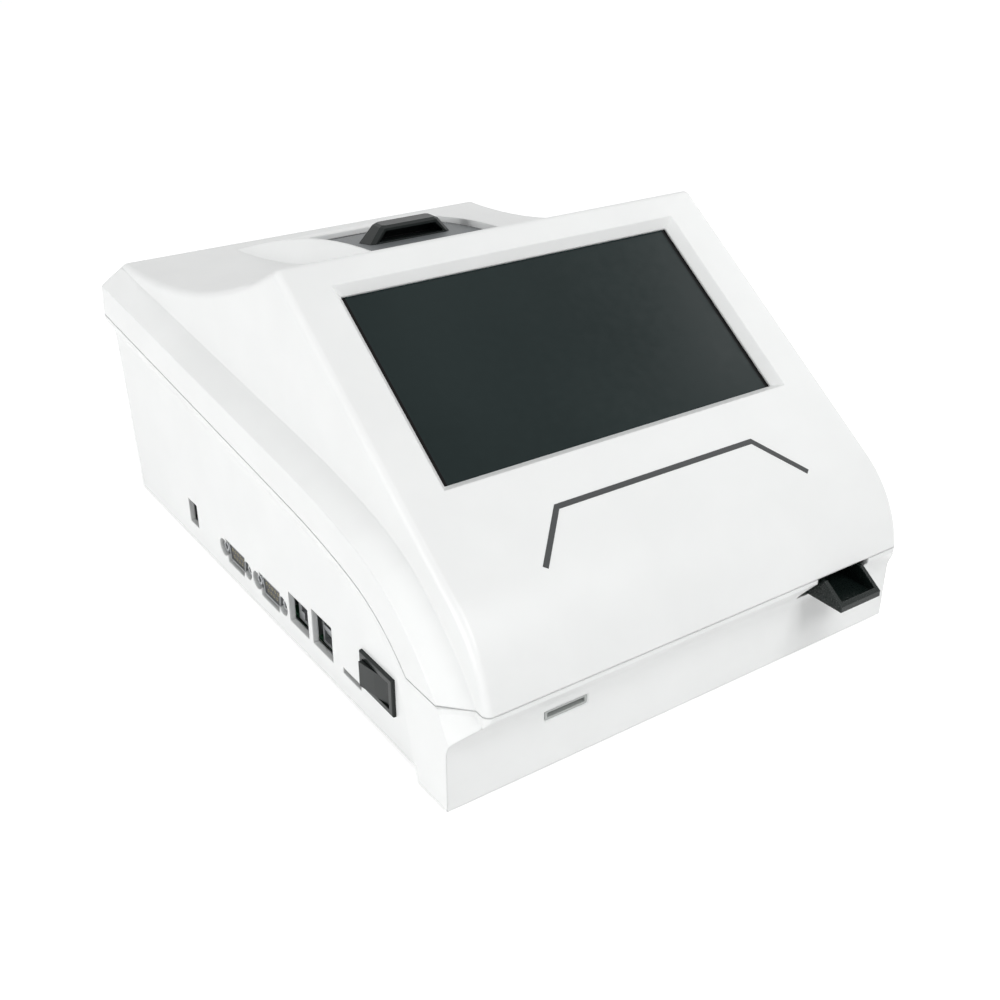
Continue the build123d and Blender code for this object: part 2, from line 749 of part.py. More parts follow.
chassis_top = chassis_height + chassis_sheet
shelf_spots = ((pinion_x - 7, pinion_depth - 9.5), (pinion_x - 7, pinion_depth + 9.5))
with BuildPart() as drive_chassis:
    block((chassis_left, chassis_right), (chassis_front, chassis_rear), (chassis_height, chassis_top))
    for depth in (chassis_front, chassis_rear - chassis_sheet):
        block(
            (tray_centre - 12, tray_centre + 12),
            (depth, depth + chassis_sheet),
            (chassis_height, rod_height + 3.6),
        )
    with BuildSketch(facing(chassis_front - 5)):
        with Locations(*[(x, rod_height) for x in rod_spots_x]):
            Circle(rod_radius)
    extrude(amount=-(chassis_rear - chassis_front + 10), mode=Mode.SUBTRACT)
    # Shelf over the motor
    shelf = (pinion_x - 11.4, pinion_x + 8.2)
    shelf_depths = (pinion_depth - 12, pinion_depth + 12)
    block(shelf, shelf_depths, (motor_shelf, motor_shelf + chassis_sheet))
    block((shelf[0], shelf[0] + chassis_sheet), shelf_depths, (chassis_height, motor_shelf + chassis_sheet))
    rods(level(motor_shelf - 1), [(pinion_x, pinion_depth)], 3.0, 5, Mode.SUBTRACT)
    bars(level(chassis_height - 1), chassis_posts, small_screw_radius + 0.15, 5, Mode.SUBTRACT)
    with BuildSketch(level(chassis_height - 1)):
        with Locations((tray_centre, 100)):
            RectangleRounded(26, 50, 4)
    extrude(amount=4, mode=Mode.SUBTRACT)
finish(drive_chassis, "drive_chassis")

with BuildPart() as chassis_screws:
    shank = chassis_sheet + 4
    screws(level(chassis_top), chassis_posts, small_screw_radius, shank, small_head_radius, small_head_height)
finish(chassis_screws, "chassis_screws")

with BuildPart() as tray_motor:
    rods(level(chassis_top), [(pinion_x, pinion_depth)], motor_radius, motor_shelf - chassis_top)
    chamfer(tray_motor.edges().group_by(Axis.Z)[0], 1)
    rods(level(motor_shelf), [(pinion_x, pinion_depth)], 2.9, 1.5)
    rods(level(motor_shelf + 2), [(pinion_x, pinion_depth)], motor_shaft + running, -6.5, Mode.SUBTRACT)
finish(tray_motor, "tray_motor")

with BuildPart() as tray_sensor:
    block((65, 72.4), (139.6, 144.0), (chassis_top, 19))
    block((65, 72.4), (140.6, 144.1), (14, 17), mode=Mode.SUBTRACT)
    block((67.7, 69.7), (139, 145), (16, 20), mode=Mode.SUBTRACT)
finish(tray_sensor, "tray_sensor")

# Optics over the tray
bridge_top = bridge_height + chassis_sheet
bridge_left = chassis_left + 1
bridge_right = chassis_right - 1
lens_spot = (tray_centre, (optics_front + optics_rear) / 2)
with BuildPart() as optics_bridge:
    depths = (optics_front, optics_rear)
    block((bridge_left, bridge_right), depths, (bridge_height, bridge_top))
    for near, far in ((bridge_left, bridge_left + chassis_sheet), (bridge_right - chassis_sheet, bridge_right)):
        block((near, far), depths, (chassis_top, bridge_top))
    block((bridge_left, bridge_left + 7), depths, (chassis_top, chassis_top + chassis_sheet))
    block((bridge_right - 6, bridge_right), depths, (chassis_top, chassis_top + chassis_sheet))
    rods(level(bridge_height - 1), [lens_spot], lens_radius + 0.1, 4, Mode.SUBTRACT)
    rods(level(chassis_top + 3), [(86.0, 16.0)], small_head_radius + 1.0, -4, Mode.SUBTRACT)
finish(optics_bridge, "optics_bridge")

head_half = head_width / 2
head_top = bridge_top + head_height
filter_height = bridge_top + 12.0
with BuildPart() as optical_head:
    block((lens_spot[0] - head_half, lens_spot[0] + head_half), (optics_front, optics_rear), (bridge_top, head_top))
    chamfer(optical_head.edges().filter_by(Axis.X).group_by(Axis.Z)[-1].sort_by(Axis.Y)[0], 5)
    chamfer(optical_head.edges().filter_by(Axis.Z), 2)
    rods(level(bridge_top - 1), [lens_spot], 4.0, 40, Mode.SUBTRACT)
    rods(level(filter_height), [lens_spot], lens_radius + 0.05, 40, Mode.SUBTRACT)
    with BuildSketch(facing(optics_front - 1)):
        with Locations((lens_spot[0], bridge_top + 7)):
            Circle(3.0)
    extrude(amount=-16, mode=Mode.SUBTRACT)
finish(optical_head, "optical_head")

with BuildPart() as objective_lens:
    rods(level(bridge_top - 4.2), [lens_spot], lens_radius, 4.2)
    chamfer(objective_lens.edges().group_by(Axis.Z)[0], 1.2)
finish(objective_lens, "objective_lens")

with BuildPart() as emission_filter:
    rods(level(filter_height), [lens_spot], lens_radius, 2.0)
finish(emission_filter, "emission_filter")

with BuildPart() as excitation_led:
    with BuildSketch(facing(optics_front + 8)):
        with Locations((lens_spot[0], bridge_top + 7)):
            Circle(2.9)
    extrude(amount=8)
    with BuildSketch(facing(optics_front)):
        with Locations((lens_spot[0], bridge_top + 7)):
            Rectangle(12, 10)
    extrude(amount=1.6)
finish(excitation_led, "excitation_led")

with BuildPart() as photodiode_board:
    block((lens_spot[0] - 9, lens_spot[0] + 9), (optics_front + 8, optics_rear - 6), (head_top, head_top + 1.6))
    rods(level(head_top), [lens_spot], 3.5, -2.5)
finish(photodiode_board, "photodiode_board")


def deck_disc(width, gap):
    """Face under the printer door's surface, moved down by gap."""
    with BuildSketch(side(width)) as disc:
        with Locations(deck_centre):
            Circle(deck_radius - gap)
    return disc.sketch


frame_inner = door_half + door_gap
frame_outer = frame_inner + frame_sheet
frame_front = opening_front - 4
frame_rear = pin_depth + 6
frame_bottom = 90.0
motor_spot = (platen_depth - 2.0, platen_height - 8.0)
bucket_inner = roll_radius + seat_clearance
bucket_outer = bucket_inner + 2.0
head_face = platen_depth - platen_radius - 0.1
with BuildPart() as printer_frame:
    for low in (-frame_outer, frame_inner):
        with BuildSketch(side(low)):
            with BuildLine():
                Polyline(
                    (frame_front, 104),
                    (frame_front, 129),
                    (frame_rear, 129),
                    (frame_rear, 100),
                    (frame_rear - 6, frame_bottom),
                    (frame_front + 14, frame_bottom),
                    close=True,
                )
            make_face()
        extrude(amount=frame_sheet)
    block((-frame_inner, frame_inner), (opening_front + 0.2, opening_front + 1.8), (105, 131))
    with BuildSketch(side(-frame_outer)) as shell:
        with Locations((roll_depth, roll_height)):
            Circle(bucket_outer)
            Circle(bucket_inner, mode=Mode.SUBTRACT)
        with Locations((roll_depth, roll_height + 25)):
            Rectangle(80, 50, mode=Mode.SUBTRACT)
    extrude(amount=2 * frame_outer)
    for hand in (-1, 1):
        middle = hand * (frame_outer + 5)
        block((middle - 5.5, middle + 5.5), (200, frame_rear - 2), (printer_seat - 2, printer_seat))
    extrude(deck_disc(-pillar_half, cover_wall + 0.3), amount=pillar_width, mode=Mode.INTERSECT)
    bars(level(printer_seat - 3), printer_spots, small_screw_radius + 0.15, 5, Mode.SUBTRACT)
    with BuildSketch(side(-pillar_half)):
        with Locations((pin_depth, pin_height)):
            Circle(pin_radius)
    extrude(amount=pillar_width, mode=Mode.SUBTRACT)
    with BuildSketch(side(0)):
        with Locations(motor_spot):
            Circle(1.6)
    extrude(amount=pillar_half, mode=Mode.SUBTRACT)
finish(printer_frame, "printer_frame")

with BuildPart() as printer_screws:
    bars(level(printer_seat - 2), printer_spots, small_screw_radius, 8)
    bars(level(printer_seat - 2), printer_spots, small_head_radius, -small_head_height, sides=6)
finish(printer_screws, "printer_screws")

head_half_width = 26.8
with BuildPart() as print_head:
    block((-30, head_half_width), (opening_front + 1.8, head_face), (116, 130.5))
    chamfer(print_head.edges().filter_by(Axis.X).group_by(Axis.Z)[-1].sort_by(Axis.Y)[-1], 0.6)
finish(print_head, "print_head")

with BuildPart() as tear_bar:
    block((-frame_inner + 0.2, frame_inner - 0.2), (opening_front + 0.2, opening_front + 4.2), (131, 150))
    chamfer(tear_bar.edges().filter_by(Axis.X).group_by(Axis.Z)[0].sort_by(Axis.Y)[-1], 1.5)
    extrude(deck_disc(-pillar_half, 0.3), amount=pillar_width, mode=Mode.INTERSECT)
finish(tear_bar, "tear_bar")

door_front = opening_front + 5.0
arm_inner = 30.3
arm_outer = 31.7
with BuildPart() as printer_door:
    with BuildSketch(side(-door_half)):
        with Locations(deck_centre):
            Circle(deck_radius)
            Circle(deck_radius - door_thickness, mode=Mode.SUBTRACT)
        with Locations(((door_front + pin_depth) / 2, 150)):
            Rectangle(pin_depth - door_front, 80, mode=Mode.INTERSECT)
        with Locations((pin_depth, pin_height)):
            Circle(barrel_radius)
    extrude(amount=2 * door_half)
    for low in (-arm_outer, arm_inner):
        with BuildSketch(side(low)):
            with BuildLine():
                Polyline(
                    (pin_depth, deck_top(pin_depth) - 1),
                    (platen_depth - 3.5, deck_top(platen_depth - 3.5) - 1),
                    (platen_depth - 3.5, platen_height),
                    (platen_depth, platen_height - 3.5),
                    (platen_depth + 8, platen_height - 3.5),
                    (pin_depth, pin_height - 3),
                    close=True,
                )
            make_face()
        extrude(amount=arm_outer - arm_inner)
    with BuildSketch(side(-pillar_half)):
        with Locations((pin_depth, pin_height)):
            Circle(pin_radius + running)
        with Locations((platen_depth, platen_height)):
            Circle(platen_shaft + running)
    extrude(amount=pillar_width, mode=Mode.SUBTRACT)
finish(printer_door, "printer_door")

with BuildPart() as hinge_pin:
    with BuildSketch(side(-frame_outer)):
        with Locations((pin_depth, pin_height)):
            Circle(pin_radius)
    extrude(amount=2 * frame_outer)
finish(hinge_pin, "hinge_pin")

handle_front = 196.6
handle_rear = 209.5
handle_foot = 130.0
handle_peak = 142.6
handle_top_depths = (198.0, 207.0)
handle_wall = 2.2
handle_floor = 0.6          # lip of the handle under the finger space
handle_middle = (handle_front + handle_rear) / 2
top_middle = sum(handle_top_depths) / 2
with BuildPart() as finger_space:
    with BuildSketch(level(handle_foot)):
        with Locations((0, handle_middle - handle_wall)):
            Rectangle(2 * (handle_base_half - handle_wall), handle_rear - handle_front)
    with BuildSketch(level(handle_peak - handle_wall)):
        with Locations((0, top_middle - handle_wall)):
            Rectangle(2 * (handle_top_half - handle_wall) + 1, handle_top_depths[1] - handle_top_depths[0])
    loft(ruled=True)
    extrude(deck_disc(-pillar_half, -handle_floor), amount=pillar_width, mode=Mode.SUBTRACT)

with BuildPart() as door_handle:
    with BuildSketch(level(handle_foot)):
        with Locations((0, handle_middle)):
            Rectangle(2 * handle_base_half, handle_rear - handle_front)
    with BuildSketch(level(handle_peak)):
        with Locations((0, top_middle)):
            Rectangle(2 * handle_top_half, handle_top_depths[1] - handle_top_depths[0])
    loft(ruled=True)
    upright = door_handle.edges().filter_by(lambda e: abs((e @ 1 - e @ 0).Z) > 8)
    chamfer(upright, 1.4)
    chamfer(door_handle.edges().group_by(Axis.Z)[-1], 1.0)
    add(finger_space.part, mode=Mode.SUBTRACT)
    extrude(deck_disc(-pillar_half, 0), amount=pillar_width, mode=Mode.SUBTRACT)
finish(door_handle, "door_handle")

with BuildPart() as platen_roller:
    with BuildSketch(side(-30)):
        with Locations((platen_depth, platen_height)):
            Circle(platen_radius)
    extrude(amount=57)
    with BuildSketch(side(-arm_outer - 0.3)):
        with Locations((platen_depth, platen_height)):
            Circle(platen_shaft)
    extrude(amount=2 * arm_outer + 0.6)
finish(platen_roller, "platen_roller")

gear_start = 27.6
mesh_angle = degrees(atan2(motor_spot[1] - platen_height, motor_spot[0] - platen_depth))
with BuildPart() as platen_gear:
    with BuildSketch(side(gear_start)):
        with Locations((platen_depth, platen_height)):
            gear_teeth(printer_module, platen_teeth, mesh_angle + 180 / platen_teeth, gear_backlash)
            Circle(platen_shaft, mode=Mode.SUBTRACT)
    extrude(amount=printer_gear_width)
finish(platen_gear, "platen_gear")

with BuildPart() as printer_motor_gear:
    with BuildSketch(side(gear_start)):
        with Locations(motor_spot):
            gear_teeth(printer_module, printer_pinion_teeth, mesh_angle + 180, gear_backlash)
    extrude(amount=printer_gear_width)
    with BuildSketch(side(gear_start)):
        with Locations(motor_spot):
            Circle(printer_shaft)
    extrude(amount=frame_outer - gear_start + 3)
finish(printer_motor_gear, "printer_motor_gear")

with BuildPart() as printer_motor:
    with BuildSketch(side(frame_outer)):
        with Locations(motor_spot):
            Circle(printer_motor_radius)
    extrude(amount=printer_motor_length)
    with BuildSketch(side(frame_outer)):
        with Locations(motor_spot):
            Circle(printer_shaft + running)
    extrude(amount=3.5, mode=Mode.SUBTRACT)
finish(printer_motor, "printer_motor")

with BuildPart() as paper_roll:
    with BuildSketch(side(-paper_width / 2)):
        with Locations((roll_depth, roll_height)):
            Circle(roll_radius)
            Circle(roll_core, mode=Mode.SUBTRACT)
    extrude(amount=paper_width)
finish(paper_roll, "paper_roll")

# Electronics
board_edge = -101.4
with BuildPart() as main_board:
    block((board_edge, 30), (62, 245), (board_bottom, board_top))
    bars(level(board_bottom - 1), board_spots, small_screw_radius + 0.15, 5, Mode.SUBTRACT)
    block((board_edge - 1, -96), (216, 250), (board_bottom - 1, board_top + 1), mode=Mode.SUBTRACT)
finish(main_board, "main_board")

with BuildPart() as board_chips:
    block((-40, -22), (120, 138), (board_top, board_top + 1.6))
    block((-40, -28), (146, 156), (board_top, board_top + 1.2))
    block((-20, -8), (146, 156), (board_top, board_top + 1.2))
    block((-6, 6), (180, 190), (board_top, board_top + 1.2))
    block((10, 26), (100, 108), (board_top, board_top + 6))
    block((10, 26), (200, 208), (board_top, board_top + 6))
    rods(level(board_top), [(-70, 222), (-58, 222), (-46, 222)], 4.0, 11)
finish(board_chips, "board_chips")

with BuildPart() as board_screws:
    shank = board_thickness + 4
    screws(level(board_top), board_spots, small_screw_radius, shank, small_head_radius, small_head_height)
finish(board_screws, "board_screws")

port_face = -102.2
with BuildPart() as lan_port:
    middle = lan_port_at[0]
    block((port_face, -81), (middle - 8.2, middle + 8.2), (board_top, board_top + 13.6))
    block((port_face - 1, -88), (middle - 5.9, middle + 5.9), (board_top + 4.6, board_top + 12), mode=Mode.SUBTRACT)
    block((port_face - 1, -88), (middle - 3.2, middle + 3.2), (board_top + 1.4, board_top + 5), mode=Mode.SUBTRACT)
finish(lan_port, "lan_port")

with BuildPart() as usb_port:
    middle = usb_port_at[0]
    block((port_face, -84), (middle - 7.4, middle + 7.4), (board_top, board_top + 16.0))
    for low in (board_top + 1.4, board_top + 9.0):
        block((port_face - 1, -92), (middle - 6.4, middle + 6.4), (low, low + 5.6), mode=Mode.SUBTRACT)
        block((port_face + 1, -90), (middle - 5.6, middle + 5.6), (low + 3.2, low + 4.8))
finish(usb_port, "usb_port")

shell_face = -105.4
shell_inside = (16.4, 7.2)
shell_depth = 3.0
for number, depth in enumerate(serial_depths, 1):
    with BuildPart() as serial_port:
        block((-103.2, -102.4), (depth - 15.4, depth + 15.4), (serial_height - 3.2, serial_height + 6.2))
        block((-103.2, -90), (depth - 9.6, depth + 9.6), (board_top, serial_height + 5.0))
        with BuildSketch(side(shell_face)):
            with Locations((depth, serial_height)):
                Trapezoid(17.6, 8.4, 80, rotation=180)
        extrude(amount=4)
        with BuildSketch(side(shell_face)):
            with Locations((depth, serial_height)):
                Trapezoid(*shell_inside, 80, rotation=180)
        extrude(amount=shell_depth, mode=Mode.SUBTRACT)
        for step in (-12.5, 12.5):
            with BuildSketch(side(-105.0)):
                with Locations((depth + step, serial_height)):
                    RegularPolygon(2.7, 6)
                    Circle(1.4, mode=Mode.SUBTRACT)
            extrude(amount=2)
    finish(serial_port, "serial_port_" + str(number))

with BuildPart() as serial_inserts:
    with BuildSketch(side(shell_face + shell_depth)):
        for depth in serial_depths:
            with Locations((depth, serial_height)):
                Trapezoid(shell_inside[0] - 0.1, shell_inside[1] - 0.1, 80, rotation=180)
    extrude(amount=0.4 - shell_depth)
finish(serial_inserts, "serial_inserts")

with BuildPart() as dc_inlet:
    middle, height = inlet_at
    block((-103.4, -90), (middle - 4.6, middle + 4.6), (board_top, board_top + 11))
    with BuildSketch(side(-104)):
        with Locations((middle, height)):
            Circle(3.1)
    extrude(amount=11, mode=Mode.SUBTRACT)
    with BuildSketch(side(-101.5)):
        with Locations((middle, height)):
            Circle(1.0)
    extrude(amount=9)
finish(dc_inlet, "dc_inlet")

with BuildPart() as card_slot:
    middle = card_slot_at[0]
    block((-102.6, -87), (middle - 7.6, middle + 7.6), (board_top, board_top + 3.6))
    block((-104, -89), (middle - 6.4, middle + 6.4), (board_top + 1.2, board_top + 2.6), mode=Mode.SUBTRACT)
finish(card_slot, "card_slot")

# Chip card reader behind the front wall
reader_top = reader_board_bottom + board_thickness
with BuildPart() as id_reader_board:
    block((-72, -46.6), (6, 34), (reader_board_bottom, reader_top))
    bars(level(reader_board_bottom - 1), reader_spots, small_screw_radius + 0.15, 5, Mode.SUBTRACT)
finish(id_reader_board, "id_reader_board")

with BuildPart() as id_card_socket:
    middle, height = id_slot_at
    block((middle - 9.8, middle + 9.8), (15, 32), (reader_top, height + 3.2))
    block((middle - 9.0, middle + 9.0), (wall + 0.8, 15), (height - 1.8, height + 2.2))
    block((middle - id_slot[0] / 2, middle + id_slot[0] / 2), (-1, 26), (height - 1.0, height + 1.0), mode=Mode.SUBTRACT)
finish(id_card_socket, "id_card_socket")

with BuildPart() as id_slot_frame:
    with BuildSketch(facing(0.3)):
        with Locations(id_slot_at):
            RectangleRounded(id_frame[0] - 0.1, id_frame[1] - 0.1, 0.7)
    extrude(amount=-2.3)
    with BuildSketch(facing(wall)):
        with Locations(id_slot_at):
            Rectangle(id_frame[0] + 2, id_frame[1] + 1.6)
    extrude(amount=-0.8)
    with BuildSketch(facing(-1)):
        with Locations(id_slot_at):
            Rectangle(*id_slot)
    extrude(amount=-6, mode=Mode.SUBTRACT)
finish(id_slot_frame, "id_slot_frame")

with BuildPart() as speaker:
    rods(level(inner_floor), [(-20.0, 30.0)], 14.0, 3.5)
    rods(level(inner_floor), [(-20.0, 30.0)], 7.0, 6.5)
    rods(level(inner_floor - 1), [(-20.0, 30.0)], 11.0, 2.2, Mode.SUBTRACT)
finish(speaker, "speaker")

# Power switch
switch_middle, switch_height = switch_at
bezel_face = -wall_half - 1.5
rocker_axis = -wall_half + 0.1
pivot_radius = 0.7
pivot_reach = rocker_size[1] / 2 + 0.9
with BuildPart() as switch_frame_body:
    block(
        (bezel_face, -wall_half),
        (switch_middle - switch_frame[0] / 2, switch_middle + switch_frame[0] / 2),
        (switch_height - switch_frame[1] / 2, switch_height + switch_frame[1] / 2),
    )
    fillet(switch_frame_body.edges().group_by(Axis.X)[0], 0.6)
    block(
        (-wall_half, -92),
        (switch_middle - switch_frame[0] / 2 + 1.3, switch_middle + switch_frame[0] / 2 - 1.3),
        (switch_height - switch_frame[1] / 2 + 1.3, switch_height + switch_frame[1] / 2 - 1.3),
    )
    block(
        (bezel_face - 1, -95),
        (switch_middle - rocker_size[0] / 2 - 0.3, switch_middle + rocker_size[0] / 2 + 0.3),
        (switch_height - rocker_size[1] / 2 - 0.25, switch_height + rocker_size[1] / 2 + 0.25),
        mode=Mode.SUBTRACT,
    )
    pivot_hole = pivot_reach + 0.1
    rods(
        level(switch_height - pivot_hole),
        [(rocker_axis, switch_middle)],
        pivot_radius + running,
        2 * pivot_hole,
        Mode.SUBTRACT,
    )
finish(switch_frame_body, "switch_frame")

with BuildPart() as power_rocker:
    with BuildSketch(level(switch_height - rocker_size[1] / 2)):
        half = rocker_size[0] / 2
        with BuildLine():
            press_in = half * tan(radians(rocker_swing))
            face = -wall_half - 1.9
            Line((face + 1.2 * press_in, switch_middle - half + 0.4), (face, switch_middle))
            Polyline(
                (face, switch_middle),
                (face - press_in, switch_middle + half - 0.4),
                (face + 3.4, switch_middle + half - 0.2),
                (rocker_axis + 6, switch_middle + 3),
                (rocker_axis + 6, switch_middle - 3),
                (face + 4.4, switch_middle - half + 0.2),
                (face + 1.2 * press_in, switch_middle - half + 0.4),
            )
        make_face()
    extrude(amount=rocker_size[1])
    rods(level(switch_height - pivot_reach), [(rocker_axis, switch_middle)], pivot_radius, 2 * pivot_reach)
finish(power_rocker, "power_rocker")
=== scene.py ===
from math import cos, pi, radians, sin

import bmesh
import bpy
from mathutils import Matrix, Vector


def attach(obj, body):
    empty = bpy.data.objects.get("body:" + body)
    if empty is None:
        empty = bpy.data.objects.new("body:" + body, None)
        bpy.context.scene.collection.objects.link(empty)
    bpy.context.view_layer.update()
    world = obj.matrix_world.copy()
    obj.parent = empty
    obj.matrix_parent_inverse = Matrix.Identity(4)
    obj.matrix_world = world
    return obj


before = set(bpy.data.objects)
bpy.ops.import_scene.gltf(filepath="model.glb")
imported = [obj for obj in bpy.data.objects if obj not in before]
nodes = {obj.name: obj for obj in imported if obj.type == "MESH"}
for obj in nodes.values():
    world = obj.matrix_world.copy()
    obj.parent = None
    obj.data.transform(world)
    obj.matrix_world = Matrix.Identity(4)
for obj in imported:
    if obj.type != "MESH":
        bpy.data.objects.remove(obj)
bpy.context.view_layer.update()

# Places on the instrument, in metres. Depths run back from the front bottom edge, heights up from the base.
MM = 0.001
FRONT = -0.14225
FOOT = 0.002
PANEL_TILT = radians(35.2)
PANEL_FOOT = (0.0424, 0.0981)
DISPLAY_MIDDLE = 0.04565
ACTIVE_HALF = (0.0771, 0.0432)

# Printed stripe, in millimetres. Its path has widths from the middle and distances up the panel.
STRIPE_PATH = ((-61.5, -38.4), (-45.0, -18.6), (49.5, -18.6), (66.0, -38.2))
STRIPE_WIDTH = 2.2
STRIPE_HEIGHT = 0.12
STRIPE_SINK = 0.05
SHARPEST_MITRE = 0.3

# Contacts of the two serial sockets, in millimetres. A row has its count and its height over the middle.
SERIAL_DEPTHS = (179.3, 144.8)
SERIAL_HEIGHT = 12.6
CONTACT_FACE = -104.95
CONTACT_ROWS = ((5, 1.42), (4, -1.42))
CONTACT_PITCH = 2.77
CONTACT_RADIUS = 0.75
CONTACT_BORE = 0.5
CONTACT_LENGTH = 0.12

# Shared by the surfaces
NOISE_LOW = 0.3
NOISE_HIGH = 0.7
MOTTLE_SCALE = 35.0
GLOSS_SPREAD = 0.1
RELIEF_DEPTH = 0.0002
EDGE_SAMPLES = 8

# Colours
WHITE = (0.83, 0.84, 0.835)
CARD_SLOT_GREY = (0.42, 0.44, 0.43)
BLACK = (0.008, 0.011, 0.0105)
TRAY_BLACK = (0.006, 0.010, 0.009)
DOOR_GREY = (0.135, 0.145, 0.15)
INK = (0.022, 0.025, 0.026)
FOOT_BLACK = (0.02, 0.02, 0.02)
PLATEN_BLACK = (0.018, 0.018, 0.018)
GEAR_CREAM = (0.72, 0.68, 0.56)
PAPER_WHITE = (0.82, 0.81, 0.78)
STEEL_GREY = (0.52, 0.52, 0.53)
SOCKET_GREY = (0.40, 0.41, 0.42)
SHEET_GREY = (0.62, 0.63, 0.64)
LENS_BLUE = (0.20, 0.28, 0.36)
BOARD_GREEN = (0.012, 0.10, 0.04)
CHIP_BLACK = (0.02, 0.02, 0.022)
SOCKET_BLACK = (0.008, 0.010, 0.010)
CONTACT_GOLD = (0.30, 0.25, 0.13)
PICTURE_DARK = (0.008, 0.016, 0.016)
PICTURE_LIGHT = (0.012, 0.021, 0.021)
# Border of the display glass: printed black, and also painted shade standing in for the shadow under the
# recess edge.
PRINTED_BORDER_AND_SHADE = (0.0015, 0.0015, 0.0015, 1)
PLAIN_WHITE = (1, 1, 1, 1)
FLOOR_WHITE = (0.9, 0.9, 0.9, 1)

# Display glass
PICTURE_MOTTLE = 14.0
GLASS_GRAIN = 260.0
GLASS_SMOOTHEST = 0.16
GLASS_ROUGHEST = 0.24
GLASS_SHINE = 0.14

# Stage, in metres
FLOOR_HALF = 6.0
FLOOR_GLOW = 0.6
ROOM_LIGHT = 0.36
BACKDROP_LIGHT = 1.0

# Camera of the photo
LENS = 46.09
SENSOR = 36.0
NEAREST = 0.01
CAMERA_SPOT = (-0.2871, -0.4307, 0.3036)
CAMERA_DROP = 28.03
CAMERA_TURN = -34.61


def place(x, y, z):
    """Point of the row frame from width, depth and height in millimetres."""
    return Vector((x * MM, FRONT + y * MM, FOOT + z * MM))


PANEL_ORIGIN = Vector((0, FRONT + PANEL_FOOT[0], FOOT + PANEL_FOOT[1]))
PANEL_UP = Vector((0, cos(PANEL_TILT), sin(PANEL_TILT)))
PANEL_OUT = Vector((0, -sin(PANEL_TILT), cos(PANEL_TILT)))


def on_panel(x, along, out=0.0):
    """Point over the panel from width, distance up the panel and height over it, in millimetres."""
    return PANEL_ORIGIN + Vector((x * MM, 0, 0)) + PANEL_UP * along * MM + PANEL_OUT * out * MM


# Materials
def new_material(name):
    """Empty node material with its shader and output joined."""
    material = bpy.data.materials.new(name)
    material.use_nodes = True
    tree = material.node_tree
    tree.nodes.clear()
    output = tree.nodes.new("ShaderNodeOutputMaterial")
    shader = tree.nodes.new("ShaderNodeBsdfPrincipled")
    tree.links.new(shader.outputs["BSDF"], output.inputs["Surface"])
    return material, tree, shader


def noise(tree, scale, detail=3.0, stretch=None):
    """Noise over the object's own coordinates."""
    coordinates = tree.nodes.new("ShaderNodeTexCoord")
    texture = tree.nodes.new("ShaderNodeTexNoise")
    texture.inputs["Scale"].default_value = scale
    texture.inputs["Detail"].default_value = detail
    source = coordinates.outputs["Object"]
    if stretch:
        mapping = tree.nodes.new("ShaderNodeMapping")
        mapping.inputs["Scale"].default_value = stretch
        tree.links.new(source, mapping.inputs["Vector"])
        source = mapping.outputs["Vector"]
    tree.links.new(source, texture.inputs["Vector"])
    return texture.outputs["Fac"]


def two_tone(tree, factor, first, second, low=0.35, high=0.65):
    """Colour that goes from first to second as factor rises."""
    ramp = tree.nodes.new("ShaderNodeValToRGB")
    ramp.color_ramp.elements[0].position = low
    ramp.color_ramp.elements[1].position = high
    ramp.color_ramp.elements[0].color = (*first, 1)
    ramp.color_ramp.elements[1].color = (*second, 1)
    tree.links.new(factor, ramp.inputs["Fac"])
    return ramp.outputs["Color"]


def spread(tree, factor, low, high):
    """Number that goes from low to high as factor rises."""
    span = tree.nodes.new("ShaderNodeMapRange")
    span.inputs["From Min"].default_value = NOISE_LOW
    span.inputs["From Max"].default_value = NOISE_HIGH
    span.inputs["To Min"].default_value = low
    span.inputs["To Max"].default_value = high
    tree.links.new(factor, span.inputs["Value"])
    return span.outputs["Result"]


def surface(
    name, colour, variation=0.03, roughness=0.4, grain=900.0, bump=0.02, metallic=0.0, edge=0.0,
    stretch=None, shine=0.5,
):
    """Moulded, sheet or turned surface: mottled colour, uneven gloss, fine grain and softened edges."""
    material, tree, shader = new_material(name)
    mottle = noise(tree, MOTTLE_SCALE)
    darker = tuple(c * (1 - variation) for c in colour)
    lighter = tuple(min(1.0, c * (1 + variation)) for c in colour)
    tree.links.new(two_tone(tree, mottle, darker, lighter), shader.inputs["Base Color"])
    fine = noise(tree, grain, 2.0, stretch)
    rough = spread(tree, fine, roughness * (1 - GLOSS_SPREAD), min(1.0, roughness * (1 + GLOSS_SPREAD)))
    tree.links.new(rough, shader.inputs["Roughness"])
    shader.inputs["Metallic"].default_value = metallic
    shader.inputs["Specular IOR Level"].default_value = shine
    relief = tree.nodes.new("ShaderNodeBump")
    relief.inputs["Strength"].default_value = bump
    relief.inputs["Distance"].default_value = RELIEF_DEPTH
    tree.links.new(fine, relief.inputs["Height"])
    if edge:
        soft = tree.nodes.new("ShaderNodeBevel")
        soft.samples = EDGE_SAMPLES
        soft.inputs["Radius"].default_value = edge
        tree.links.new(soft.outputs["Normal"], relief.inputs["Normal"])
    tree.links.new(relief.outputs["Normal"], shader.inputs["Normal"])
    return material


